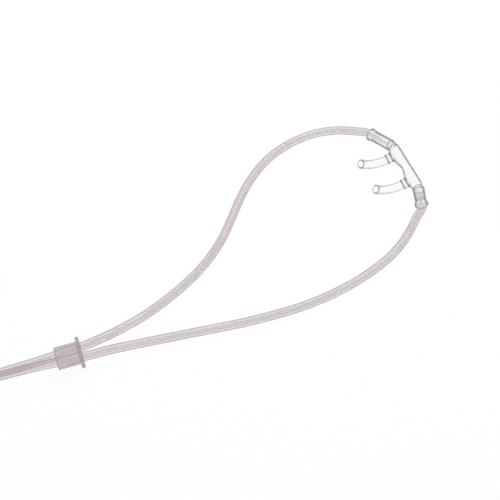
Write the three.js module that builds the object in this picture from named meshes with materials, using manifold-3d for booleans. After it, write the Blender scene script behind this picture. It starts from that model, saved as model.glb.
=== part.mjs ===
// Nasal oxygen cannula with a lariat loop, lying on a level floor.
// Millimetres, +Z up. The nasal piece's long side lies along X and its prongs point towards -Y.
// The origin is on the floor below the middle of the nasal piece.
import * as THREE from 'three';
import * as BufferGeometryUtils from 'three/addons/utils/BufferGeometryUtils.js';
import Module from 'manifold-3d';

const wasm = await Module();
wasm.setup();

// Driving dimensions of the tubes
const loopTubeDiameter = 4.0;
const supplyTubeDiameter = 5.0;
const straightLead = 1.5;     // straight stretch of a tube in front of its socket
const tubeGap = 0.2;          // clearance all round between a tube and the hole that it sits in
const restGap = 0.3;          // clearance between pieces that lie on or beside each other
const hollowExcess = 1;       // how far a hollow runs out past the open end that it makes
const hollowOverlap = 0.5;    // how far one hollow runs on into the next

// Driving dimensions of the nasal piece
const bodyX = 1.0;            // middle of the strap
const bodyY = 8.5;
const bodyZ = 4.2;
const strapLength = 28.5;
const strapWidth = 5.5;
const strapThickness = 4.6;
const strapSquareness = 2.8;  // 2 is an oval section, and more is squarer
const shoulderReach = 0.3;    // how far a shoulder stands forward of the strap
const shoulderWidth = 7.2;
const notchDepth = 0.9;       // how far the front edge dips between the shoulders
const notchWidth = 3.24;
const strapEndShare = 0.02;   // what is left of the strap's section at its very ends
const airChannelDiameter = 2.8;
const bodyRoll = 18;          // degrees that the strap has rolled forward on to its prongs
const prongSpacing = 16.2;
const prongDiameter = 4.1;
const prongBore = 3.0;
const prongLength = 16.4;     // along its curve
const prongCurl = 56;         // degrees of its curve
const collarDiameter = 5.2;
const collarLength = 3.3;
const collarSet = 2.2;        // start of the collar, forward of the strap's middle
const socketDiameter = 5.4;
const socketFloorSet = 1.5;   // where the pushed-in tube stops, past the socket's start
const socketDrop = 4;         // degrees that a socket points down
const leftSocketLength = 13.0;
const rightSocketLength = 9.7;
const leftSocketBend = 28;    // degrees that a socket turns towards the prongs
const rightSocketBend = 17;
const socketInset = 0.75;     // start of a socket, inside the strap's end
const rimDiameter = 6.2;
const rimLength = 1.1;
const rimSlope = 0.5;
const rimRounding = 0.2;

// Driving dimensions of the slider and of the straight pair of tubes that it slides along
const flangeDiameter = 13.4;
const flangeThickness = 1.5;
const barrelDiameter = 9.7;
const barrelLength = 9.4;
const barrelEndRounding = 0.8;
const flangeRounding = 0.4;
const flangeFillet = 0.5;     // where the flange meets the barrel
const boreLip = 0.1;
const slideTravel = 50;
const pairHeading = 266;      // degrees from +X, the way that the pair leaves the loop
const pairX = 41.2;           // where the pair enters the slider
const pairY = -160.7;
const pairSpacing = 4.2;      // middle to middle
const pairTwistStart = 38;    // degrees that the pair is turned about its line where it enters the slider
const pairTwistGain = 74;     // degrees that it turns further on along its line
const pairTwistReach = 14;    // over how long a stretch most of that turn happens
const pairPlaces = [0, 4, 9, 15, 23, 34, 47];   // where the tubes' lines have their points along the pair

// Driving dimensions of the stored coil
const coilX = -12;
const coilY = -277;
const coilInnerRadius = 17.5;
const coilOuterRadius = 42.5;
const coilLayers = 2;
const coilEdgeShare = 0.7;    // rounding of the coil's edges, as a share of the tube's radius
const wrapGap = 0.5;          // clearance between the coil and the loop tubes that lie round it
const wrapSpacing = 4.3;      // between those two tubes, middle to middle
const wrapStep = 22;          // degrees between the points of their lines round the coil
const tieAngle = 32;          // degrees from +X, seen from the coil's middle
const tieWidth = 4.0;
const tieThickness = 0.6;
const tieHeadroom = 0.9;      // room for the turns that rise over the tie's lower strand

// Driving dimensions of the Y connector
const yLength = 24;
const yHeight = 7.4;
const yBoreSpacing = 5.6;
const yWall = 0.7;
const yTubeDepth = 5.8;       // how far each tube is pushed in
const yRounding = 1.4;
const yAirDiameter = 2.6;
const yAngle = 125;           // degrees from +X, seen from the coil's middle
const yTaperStart = 1;        // how far behind its middle its sides begin to close in

// Where the loop tubes leave the coil for the Y connector
const leaveAngle = 25;        // degrees ahead of the Y connector's middle
const leaveOut = 0.6;         // how far out they have moved there
const leaveRise = 0.4;        // how far up
const leaveSpread = 0.2;      // how much of their spacing in the Y connector they have taken up

// Where the supply tube comes down from the Y connector to lie beside the coil
const leadStraight = 4;
const leadHeight = 3.4;
// Degrees past the Y connector's middle, and how far out and up from its resting place
const leadPlaces = [
  { past: 28, out: 4.1, rise: 0.2 },
  { past: 37, out: 1.9, rise: 0 },
  { past: 45, out: 0.5, rise: 0 },
  { past: 52, out: 0, rise: 0 },
];

// Driving dimensions of the end connector
const endLength = 45;
const endDiameter = 11.0;
const endMouthBore = 8.4;
const endBoreDepth = 20;
const endThroatBore = 6.8;
const endNeckDiameter = 7.4;
const endTubeDepth = 12;
const endAirDiameter = 3.2;
const endRadiusFromCoil = 23;   // from the coil's middle to the connector's axis
const endInletX = 16;
const endNeckBevel = 0.3;
const endNeckBevelLength = 0.5;
const endFlareStep = 0.5;     // how much the neck widens over the first stretch past the tube
const endFlareLength = 4;
const endRimStep = 0.4;       // how far the rim round the mouth stands out
const endRimLength = 3.5;
const endRimSlope = 1;
const endThroatSlope = 1.5;

// Driving dimensions of the supply tube's tail, which bends a quarter of a turn into the end connector
const tailBend = 22;
const tailRunIn = 6;          // straight stretch in front of the bend
const tailDrift = 0.3;        // how far that stretch's end stands out from the bend's own line
const tailStep = 22.5;        // degrees between the points of the bend
const tailRises = [0, 0.4 / 3, 1.6 / 3, 0.9];   // how much of its whole rise it has made at each of them

// Sizes worked out from the driving dimensions
const loopTubeRadius = loopTubeDiameter / 2;
const supplyTubeRadius = supplyTubeDiameter / 2;
const coilHeight = coilLayers * supplyTubeDiameter;
const loopTubeBore = loopTubeDiameter + 2 * tubeGap;
const slideHeight = flangeDiameter / 2;
const sliderBore = pairSpacing + loopTubeDiameter + 2 * tubeGap;

// How finely the curved pieces are drawn
const roundSides = 20;
const sliderSides = 32;
const coilSides = 48;
const strapSides = 16;
const strapSteps = 32;
const tubeSides = 8;
const loopTubeSteps = 90;
const supplyTubeSteps = 14;
const prongSides = 14;
const prongSteps = 10;
const prongBoreSides = 10;
const prongBoreSteps = 12;
const roundingMiddle = 0.3;   // where the middle point of a drawn rounding lies, as a share of its radius

// Small helpers

function degrees(angle) {
  return (angle * Math.PI) / 180;
}

function point(x, y, z) {
  return new THREE.Vector3(x, y, z);
}

// A direction on the floor, by its angle from +X, with a slope in degrees
function heading(angle, slope = 0) {
  const flat = Math.cos(degrees(slope));
  return point(Math.cos(degrees(angle)) * flat, Math.sin(degrees(angle)) * flat, Math.sin(degrees(slope)));
}

// A point round the coil's middle
function aroundCoil(angle, radius, z) {
  return point(coilX, coilY, z).addScaledVector(heading(angle), radius);
}

// A solid of one round section along a path
function rod(path, diameter, steps, sides) {
  const section = new THREE.Shape();
  for (let i = 0; i < sides; i += 1) {
    const angle = (2 * Math.PI * (i + 0.5)) / sides;
    const x = (diameter / 2) * Math.cos(angle);
    const y = (diameter / 2) * Math.sin(angle);
    if (i === 0) section.moveTo(x, y);
    else section.lineTo(x, y);
  }
  section.closePath();
  return new THREE.ExtrudeGeometry(section, { steps, bevelEnabled: false, extrudePath: path });
}

function straightRod(from, to, diameter) {
  return rod(new THREE.LineCurve3(from, to), diameter, 1, roundSides);
}

// A turned solid. Its axis starts at a point and runs along a direction.
// Each point of its profile is [radius, distance along the axis].
function turned(profile, start, direction, sides = roundSides) {
  const outline = profile.map(([radius, along]) => new THREE.Vector2(radius, along));
  const geometry = new THREE.LatheGeometry(outline, sides);
  const turn = new THREE.Quaternion().setFromUnitVectors(point(0, 1, 0), direction.clone().normalize());
  geometry.applyMatrix4(new THREE.Matrix4().compose(start, turn, point(1, 1, 1)));
  return geometry;
}

function solid(geometry) {
  const bare = geometry.clone();
  bare.deleteAttribute('normal');
  bare.deleteAttribute('uv');
  const merged = BufferGeometryUtils.mergeVertices(bare, 1e-4);
  const corners = merged.index.array;
  const kept = [];
  for (let i = 0; i < corners.length; i += 3) {
    const [a, b, c] = [corners[i], corners[i + 1], corners[i + 2]];
    if (a !== b && b !== c && c !== a) kept.push(a, b, c);
  }
  const mesh = new wasm.Mesh({
    numProp: 3,
    vertProperties: new Float32Array(merged.attributes.position.array),
    triVerts: new Uint32Array(kept),
  });
  return new wasm.Manifold(mesh);
}

function joined(geometries) {
  return geometries.map(solid).reduce((whole, next) => whole.add(next));
}

function geometryOf(manifold) {
  const mesh = manifold.getMesh();
  const geometry = new THREE.BufferGeometry();
  geometry.setAttribute('position', new THREE.BufferAttribute(new Float32Array(mesh.vertProperties), 3));
  geometry.setIndex(new THREE.BufferAttribute(new Uint32Array(mesh.triVerts), 1));
  geometry.computeVertexNormals();
  return geometry;
}

// Materials

const clearVinyl = new THREE.MeshStandardMaterial({ color: 0xddd4d4, roughness: 0.25, metalness: 0 });
const clearSlider = new THREE.MeshStandardMaterial({ color: 0xbcacac, roughness: 0.25, metalness: 0 });
const softFunnel = new THREE.MeshStandardMaterial({ color: 0xe2dcda, roughness: 0.35, metalness: 0 });
const whiteTie = new THREE.MeshStandardMaterial({ color: 0xf2f2f0, roughness: 0.6, metalness: 0 });

const cannula = new THREE.Group();

function place(name, geometry, material) {
  const mesh = new THREE.Mesh(geometry, material);
  mesh.name = name;
  cannula.add(mesh);
}

// Nasal piece: a strap with shoulders, collars, curved prongs and a socket at each end, hollow throughout

const bodyCentre = point(bodyX, bodyY, bodyZ);
const rolled = new THREE.Matrix4().makeRotationX(degrees(bodyRoll)).setPosition(bodyCentre);

// How far the strap's front edge stands forward of its middle, at a place along its length
function strapFront(along) {
  const shoulder = Math.exp(-(((Math.abs(along) - prongSpacing / 2) / (shoulderWidth / 2)) ** 2));
  const notch = Math.exp(-((along / notchWidth) ** 2));
  return strapWidth / 2 + shoulderReach * shoulder - notchDepth * notch;
}

function squared(share) {
  return Math.sign(share) * Math.abs(share) ** (2 / strapSquareness);
}

// The strap is a cylinder along X whose sections are drawn out to rounded oblongs, with rounded ends
function strap() {
  const half = strapLength / 2;
  const geometry = new THREE.CylinderGeometry(1, 1, 2, strapSides, strapSteps).rotateZ(-Math.PI / 2);
  const places = geometry.attributes.position;
  for (let i = 0; i < places.count; i += 1) {
    const along = half * Math.sin((places.getX(i) * Math.PI) / 2);
    const short = Math.max(0, 1 - (half - Math.abs(along)) / (strapWidth / 2));
    const swell = Math.sqrt(Math.max(strapEndShare, 1 - short * short));
    const across = squared(places.getY(i)) * swell;
    const reach = across > 0 ? strapWidth / 2 : strapFront(along);
    places.setXYZ(i, along, across * reach, squared(places.getZ(i)) * swell * (strapThickness / 2));
  }
  return geometry.applyMatrix4(rolled);
}

// A prong's middle line, in the strap's own frame: straight out to its root, then curling up
function prongPath(side, from, tipExtra = 0) {
  const radius = prongLength / degrees(prongCurl);
  const root = collarSet + collarLength / 2;
  const points = [point((side * prongSpacing) / 2, -from, 0)];
  const steps = 8;
  for (let i = 0; i <= steps; i += 1) {
    const angle = (degrees(prongCurl) * i) / steps;
    const forward = root + radius * Math.sin(angle);
    const up = radius * (1 - Math.cos(angle));
    points.push(point((side * prongSpacing) / 2, -forward, up));
  }
  if (tipExtra > 0) {
    const beyond = point(0, -Math.cos(degrees(prongCurl)), Math.sin(degrees(prongCurl)));
    points.push(points[points.length - 1].clone().addScaledVector(beyond, tipExtra));
  }
  return new THREE.CatmullRomCurve3(points, false, 'centripetal');
}

function socketStart(side) {
  return bodyCentre.clone().add(point(side * (strapLength / 2 - socketInset), 0, 0));
}

function socketDirection(side) {
  return side < 0 ? heading(180 + leftSocketBend, -socketDrop) : heading(-rightSocketBend, -socketDrop);
}

function socketLength(side) {
  return side < 0 ? leftSocketLength : rightSocketLength;
}

function socketMouth(side) {
  return socketStart(side).addScaledVector(socketDirection(side), socketLength(side));
}

function socketFloor(side) {
  return socketStart(side).addScaledVector(socketDirection(side), socketFloorSet);
}

// A socket's root is rounded and sunk in the strap, and its mouth has a small rim
function socket(side) {
  const length = socketLength(side);
  const wall = socketDiameter / 2;
  const rim = rimDiameter / 2;
  const profile = [
    [0, -wall / 2],
    [wall * 0.7, -wall / 3],
    [wall, wall / 4],
    [wall, length - rimLength - rimSlope],
    [rim, length - rimLength],
    [rim, length - rimRounding],
    [rim - rimRounding, length],
    [0, length],
  ];
  return turned(profile, socketStart(side), socketDirection(side));
}

function nasalPiece() {
  const walls = [strap()];
  const hollows = [straightRod(socketStart(-1), socketStart(1), airChannelDiameter)];
  for (const side of [-1, 1]) {
    const x = (side * prongSpacing) / 2;
    const collar = turned(
      [[0, 0], [collarDiameter / 2, 0], [collarDiameter / 2, collarLength], [0, collarLength]],
      point(x, -collarSet, 0),
      point(0, -1, 0),
    );
    walls.push(collar.applyMatrix4(rolled));
    walls.push(rod(prongPath(side, collarSet), prongDiameter, prongSteps, prongSides).applyMatrix4(rolled));
    walls.push(socket(side));
    const bore = rod(prongPath(side, 0, hollowExcess), prongBore, prongBoreSteps, prongBoreSides);
    hollows.push(bore.applyMatrix4(rolled));
    const past = socketMouth(side).addScaledVector(socketDirection(side), hollowExcess);
    hollows.push(straightRod(socketFloor(side), past, loopTubeBore));
    const airEnd = socketFloor(side).addScaledVector(socketDirection(side), hollowOverlap);
    hollows.push(straightRod(socketStart(side), airEnd, airChannelDiameter));
  }
  return geometryOf(joined(walls).subtract(joined(hollows)));
}

place('nasal_piece', nasalPiece(), clearVinyl);

// The straight pair: both tubes run along one line and twist about it, so the slider's round bore clears them

const pairStart = point(pairX, pairY, slideHeight);
const pairDirection = heading(pairHeading);
const pairAcross = heading(pairHeading - 90);   // towards the left tube's side

function pairTwist(along) {
  return pairTwistStart + pairTwistGain * (1 - Math.exp(-along / pairTwistReach));
}

function pairPoint(side, along) {
  const twist = degrees(pairTwist(along));
  const off = (-side * pairSpacing) / 2;
  const middle = pairStart.clone().addScaledVector(pairDirection, along);
  return middle.addScaledVector(pairAcross, off * Math.cos(twist)).add(point(0, 0, off * Math.sin(twist)));
}

// Y connector: it lies along a tangent of the coil, with two bores for the loop's tubes
// and one for the supply tube

const yHalfWidth = yBoreSpacing / 2 + loopTubeBore / 2 + yWall;
const yOutBore = supplyTubeDiameter + 2 * tubeGap;
const yNeckHalfWidth = yOutBore / 2 + yWall;
const yRadius = coilOuterRadius + restGap + yHalfWidth;
const yCentre = aroundCoil(yAngle, yRadius, yHeight / 2);
const yForward = heading(yAngle - 90);
const yOutward = heading(yAngle);

function yPoint(along, outward) {
  return yCentre.clone().addScaledVector(yForward, along).addScaledVector(yOutward, outward);
}

function yConnector() {
  const half = yLength / 2;
  const taperTurn = half / 3;
  const taperEnd = half / 2;
  const outline = new THREE.Shape();
  outline.moveTo(-half, -yHalfWidth);
  outline.lineTo(-yTaperStart, -yHalfWidth);
  outline.quadraticCurveTo(taperTurn, -yHalfWidth, taperEnd, -yNeckHalfWidth);
  outline.lineTo(half, -yNeckHalfWidth);
  outline.lineTo(half, yNeckHalfWidth);
  outline.lineTo(taperEnd, yNeckHalfWidth);
  outline.quadraticCurveTo(taperTurn, yHalfWidth, -yTaperStart, yHalfWidth);
  outline.lineTo(-half, yHalfWidth);
  outline.closePath();
  const core = yHeight - 2 * yRounding;
  const block = new THREE.ExtrudeGeometry(outline, {
    depth: core,
    curveSegments: 5,
    bevelEnabled: true,
    bevelThickness: yRounding,
    bevelSize: yRounding,
    bevelOffset: -yRounding,
    bevelSegments: 3,
  });
  block.translate(0, 0, -core / 2);
  const stand = new THREE.Matrix4().makeBasis(yForward, yOutward, point(0, 0, 1)).setPosition(yCentre);
  const inFloor = -half + yTubeDepth;
  const outFloor = half - yTubeDepth;
  const hollows = [straightRod(yPoint(outFloor, 0), yPoint(half + hollowExcess, 0), yOutBore)];
  for (const side of [-1, 1]) {
    const out = (side * yBoreSpacing) / 2;
    const airStart = yPoint(inFloor - hollowOverlap, out);
    const airEnd = yPoint(outFloor + hollowExcess, out / 3);
    hollows.push(straightRod(yPoint(-half - hollowExcess, out), yPoint(inFloor, out), loopTubeBore));
    hollows.push(straightRod(airStart, airEnd, yAirDiameter));
  }
  return geometryOf(solid(block.applyMatrix4(stand)).subtract(joined(hollows)));
}

place('y_connector', yConnector(), clearVinyl);

// Loop tubes: from a socket of the nasal piece, round the loop, through the slider, down to the floor,
// round the outside of the coil and into the Y connector

const leftLoop = [
  [-28.4, -2.8, 2.7],
  [-32.8, -10.8, 2.1],
  [-34.9, -20.5, 2.0],
  [-34.6, -30.0, 2.0],
  [-32.4, -40.0, 2.0],
  [-27.8, -50.2, 2.0],
  [-21.2, -59.6, 2.0],
  [-12.6, -68.6, 2.0],
  [-3.2, -76.7, 2.0],
  [6.6, -85.6, 2.0],
  [15.0, -95.6, 2.0],
  [22.0, -107.2, 2.0],
  [27.6, -119.6, 2.1],
  [32.0, -130.8, 3.0],
  [35.7, -142.0, 5.0],
  [38.3, -151.8, 7.0],
];

const rightLoop = [
  [28.7, 0.6, 2.9],
  [33.6, -4.9, 2.3],
  [39.0, -12.2, 2.0],
  [43.6, -20.8, 2.0],
  [47.3, -31.2, 2.0],
  [50.0, -42.0, 2.0],
  [51.8, -54.4, 2.0],
  [52.4, -66.9, 2.0],
  [51.8, -79.1, 2.0],
  [50.5, -92.0, 2.0],
  [48.6, -105.0, 2.0],
  [46.5, -118.0, 2.0],
  [45.0, -128.5, 2.2],
  [44.0, -138.5, 3.1],
  [43.4, -149.0, 4.6],
];

// From the end of the straight pair down to the floor beside the coil
const leftDescent = [
  [36.8, -233.0, 8.1],
  [34.4, -246.0, 5.5],
  [33.3, -260.0, 2.6],
];
const rightDescent = [
  [36.2, -233.0, 3.6],
  [37.5, -246.0, 2.1],
  [37.8, -260.0, 2.0],
];

// The left tube lies against the coil and the right one outside it
function wrapRadius(side) {
  const inner = coilOuterRadius + wrapGap + loopTubeRadius;
  return side < 0 ? inner : inner + wrapSpacing;
}

function loopTube(side) {
  const points = [
    socketFloor(side).addScaledVector(socketDirection(side), restGap),
    socketMouth(side),
    socketMouth(side).addScaledVector(socketDirection(side), straightLead),
  ];
  for (const [x, y, z] of side < 0 ? leftLoop : rightLoop) {
    points.push(point(x, y, z));
  }
  const pairEnd = flangeThickness + barrelLength + slideTravel + hollowExcess;
  for (const along of [...pairPlaces, pairEnd]) {
    points.push(pairPoint(side, along));
  }
  for (const [x, y, z] of side < 0 ? leftDescent : rightDescent) {
    points.push(point(x, y, z));
  }
  const wrapEnd = yAngle + leaveAngle - 360;
  for (let angle = 0; angle > wrapEnd; angle -= wrapStep) {
    points.push(aroundCoil(angle, wrapRadius(side), loopTubeRadius));
  }
  const out = (side * yBoreSpacing) / 2;
  const back = -yLength / 2;
  const leaveRadius = wrapRadius(side) + leaveOut + leaveSpread * out;
  points.push(aroundCoil(wrapEnd, leaveRadius, loopTubeRadius + leaveRise));
  points.push(yPoint(back - straightLead, out));
  points.push(yPoint(back, out));
  points.push(yPoint(back + yTubeDepth - restGap, out));
  const path = new THREE.CatmullRomCurve3(points, false, 'centripetal');
  return rod(path, loopTubeDiameter, loopTubeSteps, tubeSides);
}

place('tube_left', loopTube(-1), clearVinyl);
place('tube_right', loopTube(1), clearVinyl);

// Slider: a turned sleeve with a flange on the side of the loop

function slider() {
  const bore = sliderBore / 2;
  const flange = flangeDiameter / 2;
  const barrel = barrelDiameter / 2;
  const total = flangeThickness + barrelLength;
  const profile = [
    [bore, 0],
    [flange - flangeRounding, 0],
    [flange, flangeRounding],
    [flange, flangeThickness - flangeRounding],
    [flange - flangeRounding, flangeThickness],
    [barrel + flangeFillet, flangeThickness],
    [barrel, flangeThickness + flangeFillet],
    [barrel, total - barrelEndRounding],
    [barrel - barrelEndRounding / 3, total - barrelEndRounding / 3],
    [bore + boreLip, total],
    [bore, total],
    [bore, 0],
  ];
  return turned(profile, pairStart, pairDirection, sliderSides);
}

place('slider', slider(), clearSlider);

// Supply tube: a lead from the Y connector to the coil, the coil as one turned solid,
// and a tail to the end connector

function supplyLead() {
  const beside = coilOuterRadius + restGap + supplyTubeRadius;
  const half = yLength / 2;
  const points = [
    yPoint(half - yTubeDepth + restGap, 0),
    yPoint(half, 0),
    yPoint(half + leadStraight, 0).setZ(leadHeight),
  ];
  for (const { past, out, rise } of leadPlaces) {
    points.push(aroundCoil(yAngle - past, beside + out, supplyTubeRadius + rise));
  }
  const path = new THREE.CatmullRomCurve3(points, false, 'centripetal');
  return rod(path, supplyTubeDiameter, supplyTubeSteps, tubeSides);
}

// The section of a ring, with rounded edges
function ringProfile(inner, outer, low, high, rounding) {
  const part = rounding * roundingMiddle;
  return [
    [inner, low + rounding],
    [inner + part, low + part],
    [inner + rounding, low],
    [outer - rounding, low],
    [outer - part, low + part],
    [outer, low + rounding],
    [outer, high - rounding],
    [outer - part, high - part],
    [outer - rounding, high],
    [inner + rounding, high],
    [inner + part, high - part],
    [inner, high - rounding],
    [inner, low + rounding],
  ];
}

function supplyCoil() {
  const rounding = supplyTubeRadius * coilEdgeShare;
  const profile = ringProfile(coilInnerRadius, coilOuterRadius, 0, coilHeight, rounding);
  const ring = turned(profile, point(0, 0, 0), point(0, 1, 0), coilSides);
  ring.rotateX(Math.PI / 2);
  ring.translate(coilX, coilY, 0);
  const cutLength = 3 * (coilOuterRadius - coilInnerRadius);
  const cutHeight = 2 * (tieThickness + restGap);
  const groove = new THREE.BoxGeometry(cutLength, tieWidth + 2 * restGap, cutHeight);
  groove.rotateZ(degrees(tieAngle));
  const middle = aroundCoil(tieAngle, (coilInnerRadius + coilOuterRadius) / 2 + coilInnerRadius, 0);
  groove.translate(middle.x, middle.y, middle.z);
  return geometryOf(solid(ring).subtract(solid(groove)));
}

// End connector: a soft funnel that lies on the coil, along a tangent

const endHeight = coilHeight + restGap + endDiameter / 2;
const endInlet = point(coilX + endInletX, coilY - endRadiusFromCoil, endHeight);
const endForward = point(-1, 0, 0);

function supplyTail() {
  const onCoil = coilHeight + restGap + supplyTubeRadius;
  const middle = endInlet.clone().add(point(0, tailBend, 0));
  const points = [middle.clone().add(point(tailBend + tailDrift, tailRunIn, 0)).setZ(onCoil)];
  tailRises.forEach((share, i) => {
    const around = heading(-tailStep * i).multiplyScalar(tailBend);
    points.push(middle.clone().add(around).setZ(onCoil + share * (endHeight - onCoil)));
  });
  points.push(endInlet.clone());
  points.push(endInlet.clone().addScaledVector(endForward, endTubeDepth - restGap));
  const path = new THREE.CatmullRomCurve3(points, false, 'centripetal');
  return rod(path, supplyTubeDiameter, supplyTubeSteps, tubeSides);
}

function endConnector() {
  const neck = endNeckDiameter / 2;
  const full = endDiameter / 2;
  const inBore = supplyTubeRadius + tubeGap;
  const air = endAirDiameter / 2;
  const throat = endThroatBore / 2;
  const mouth = endMouthBore / 2;
  const bowlStart = endLength - endBoreDepth;
  const profile = [
    [inBore, 0],
    [neck - endNeckBevel, 0],
    [neck, endNeckBevelLength],
    [neck, endTubeDepth],
    [neck + endFlareStep, endTubeDepth + endFlareLength],
    [full - endRimStep, bowlStart],
    [full - endRimStep, endLength - endRimLength - endRimSlope],
    [full, endLength - endRimLength],
    [full, endLength],
    [mouth, endLength],
    [throat, bowlStart],
    [air, bowlStart - endThroatSlope],
    [air, endTubeDepth],
    [inBore, endTubeDepth],
    [inBore, 0],
  ];
  return turned(profile, endInlet, endForward, roundSides);
}

// Tie: a flat band round the coil's section

function coilTie() {
  const inner = coilInnerRadius - restGap;
  const outer = coilOuterRadius + restGap;
  const low = tieThickness;
  const high = coilHeight + tieHeadroom;
  const band = new THREE.Shape();
  band.moveTo(inner - tieThickness, 0);
  band.lineTo(outer + tieThickness, 0);
  band.lineTo(outer + tieThickness, high + tieThickness);
  band.lineTo(inner - tieThickness, high + tieThickness);
  band.closePath();
  const inside = new THREE.Path();
  inside.moveTo(inner, low);
  inside.lineTo(inner, high);
  inside.lineTo(outer, high);
  inside.lineTo(outer, low);
  inside.closePath();
  band.holes.push(inside);
  const geometry = new THREE.ExtrudeGeometry(band, { depth: tieWidth, bevelEnabled: false });
  geometry.translate(0, 0, -tieWidth / 2);
  const outward = heading(tieAngle);
  const sideways = heading(tieAngle - 90);
  const stand = new THREE.Matrix4().makeBasis(outward, point(0, 0, 1), sideways);
  stand.setPosition(coilX, coilY, 0);
  return geometry.applyMatrix4(stand);
}

place('supply_lead', supplyLead(), clearVinyl);
place('supply_coil', supplyCoil(), clearVinyl);
place('supply_tail', supplyTail(), clearVinyl);
place('end_connector', endConnector(), softFunnel);
place('coil_tie', coilTie(), whiteTie);

export default cannula;
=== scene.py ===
# %% [markdown]
# Nasal oxygen cannula, lying on a pale table.
# The real object is a handful of clear soft vinyl mouldings and about two metres of clear tube. Everything here sits
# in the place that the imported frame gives, in metres, with the floor at zero height.

import math

import bmesh
import bpy
from mathutils import Matrix, Vector


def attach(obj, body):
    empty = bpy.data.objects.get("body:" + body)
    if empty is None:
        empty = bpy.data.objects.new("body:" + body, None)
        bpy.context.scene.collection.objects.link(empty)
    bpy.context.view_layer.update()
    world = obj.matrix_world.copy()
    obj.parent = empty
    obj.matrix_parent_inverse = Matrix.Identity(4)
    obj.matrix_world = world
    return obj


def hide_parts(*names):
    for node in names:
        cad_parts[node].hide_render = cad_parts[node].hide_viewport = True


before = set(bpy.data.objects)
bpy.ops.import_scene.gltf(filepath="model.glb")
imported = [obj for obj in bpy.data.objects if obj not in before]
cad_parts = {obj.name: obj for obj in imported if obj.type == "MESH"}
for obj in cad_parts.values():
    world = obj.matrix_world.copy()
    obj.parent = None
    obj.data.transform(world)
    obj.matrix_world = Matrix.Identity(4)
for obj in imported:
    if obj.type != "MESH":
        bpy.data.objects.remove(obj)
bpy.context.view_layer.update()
MM = 0.001
print("frame nodes:", sorted(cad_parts))

# %% [markdown]
# The camera looks down on the nasal piece from behind its right shoulder. A long lens from half a metre away keeps the
# far tubes nearly as thick as the near ones, as the photograph does.

# %% Camera
CAMERA_PLACE = Vector((281.4, -182.8, 410.0)) * MM
CAMERA_AZIMUTH = math.radians(68)
CAMERA_ELEVATION = math.radians(55)
SENSOR_WIDTH = 36.0
LENS = 80.64
NEAREST_SEEN = 0.01

camera_data = bpy.data.cameras.new("camera")
camera_data.sensor_width = SENSOR_WIDTH
camera_data.lens = LENS
camera_data.clip_start = NEAREST_SEEN
camera = bpy.data.objects.new("camera", camera_data)
bpy.context.scene.collection.objects.link(camera)
looking = Vector((
    -math.sin(CAMERA_AZIMUTH) * math.cos(CAMERA_ELEVATION),
    math.cos(CAMERA_AZIMUTH) * math.cos(CAMERA_ELEVATION),
    -math.sin(CAMERA_ELEVATION),
))
camera.location = CAMERA_PLACE
camera.rotation_mode = "QUATERNION"
camera.rotation_quaternion = looking.to_track_quat("-Z", "Y")
bpy.context.scene.camera = camera
print("camera looks along", tuple(round(x, 3) for x in looking))


# %% [markdown]
# A tube's route is a smooth line through a few given points. The centripetal form of the Catmull-Rom curve passes
# through every point and never makes a loop between two that lie close together, so it is kind to a list of uneven
# spans. The line is then cut into even steps, so that the rings of the tube are even too.

# %% Smooth lines
def smooth_line(points, spans=12):
    ends = [points[0] * 2 - points[1], *points, points[-1] * 2 - points[-2]]
    line = [points[0].copy()]
    for before, start, stop, after in zip(ends, ends[1:], ends[2:], ends[3:]):
        lead, own, trail = ((b - a).length ** 0.5 for a, b in ((before, start), (start, stop), (stop, after)))
        leaving = ((start - before) / lead - (stop - before) / (lead + own) + (stop - start) / own) * own
        arriving = ((stop - start) / own - (after - start) / (own + trail) + (after - stop) / trail) * own
        for i in range(1, spans + 1):
            t = i / spans
            line.append(
                start * (2 * t**3 - 3 * t**2 + 1)
                + leaving * (t**3 - 2 * t**2 + t)
                + stop * (3 * t**2 - 2 * t**3)
                + arriving * (t**3 - t**2)
            )
    return line


def line_length(line):
    return sum((b - a).length for a, b in zip(line, line[1:]))


def even_line(line, step):
    count = max(2, round(line_length(line) / step))
    even, walked, goal = [line[0].copy()], 0.0, line_length(line) / count
    for a, b in zip(line, line[1:]):
        span = (b - a).length
        while walked + span >= goal * len(even) and len(even) < count:
            even.append(a.lerp(b, (goal * len(even) - walked) / span))
        walked += span
    even.append(line[-1].copy())
    return even


def heading(angle, slope=0.0):
    flat = math.cos(math.radians(slope))
    turn = math.radians(angle)
    return Vector((math.cos(turn) * flat, math.sin(turn) * flat, math.sin(math.radians(slope))))


# %% [markdown]
# The nasal piece's sockets give the tubes their start. Each socket is set by the strap's end, its own length and the
# way that it points, so the places below follow from those few sizes.

# %% Where the sockets are
BODY_CENTRE = Vector((1.0, 8.5, 4.2)) * MM
STRAP_LENGTH = 28.5 * MM
SOCKET_INSET = 0.75 * MM
SOCKET_FLOOR_SET = 1.5 * MM
SOCKET_LENGTH = {"left": 13.0 * MM, "right": 9.7 * MM}
SOCKET_DIRECTION = {"left": heading(180 + 28, -4), "right": heading(-17, -4)}
SIDE_SIGN = {"left": -1, "right": 1}


def socket_start(side):
    return BODY_CENTRE + Vector((SIDE_SIGN[side] * (STRAP_LENGTH / 2 - SOCKET_INSET), 0, 0))


def socket_floor(side):
    """Where the pushed-in tube stops."""
    return socket_start(side) + SOCKET_DIRECTION[side] * SOCKET_FLOOR_SET


def socket_mouth(side):
    return socket_start(side) + SOCKET_DIRECTION[side] * SOCKET_LENGTH[side]


# %% [markdown]
# Both loop tubes run side by side through the slider and a good way past it. There they twist a quarter turn about
# each other, so that one comes to lie on top, and they stay straight so that the slider can slide.

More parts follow.
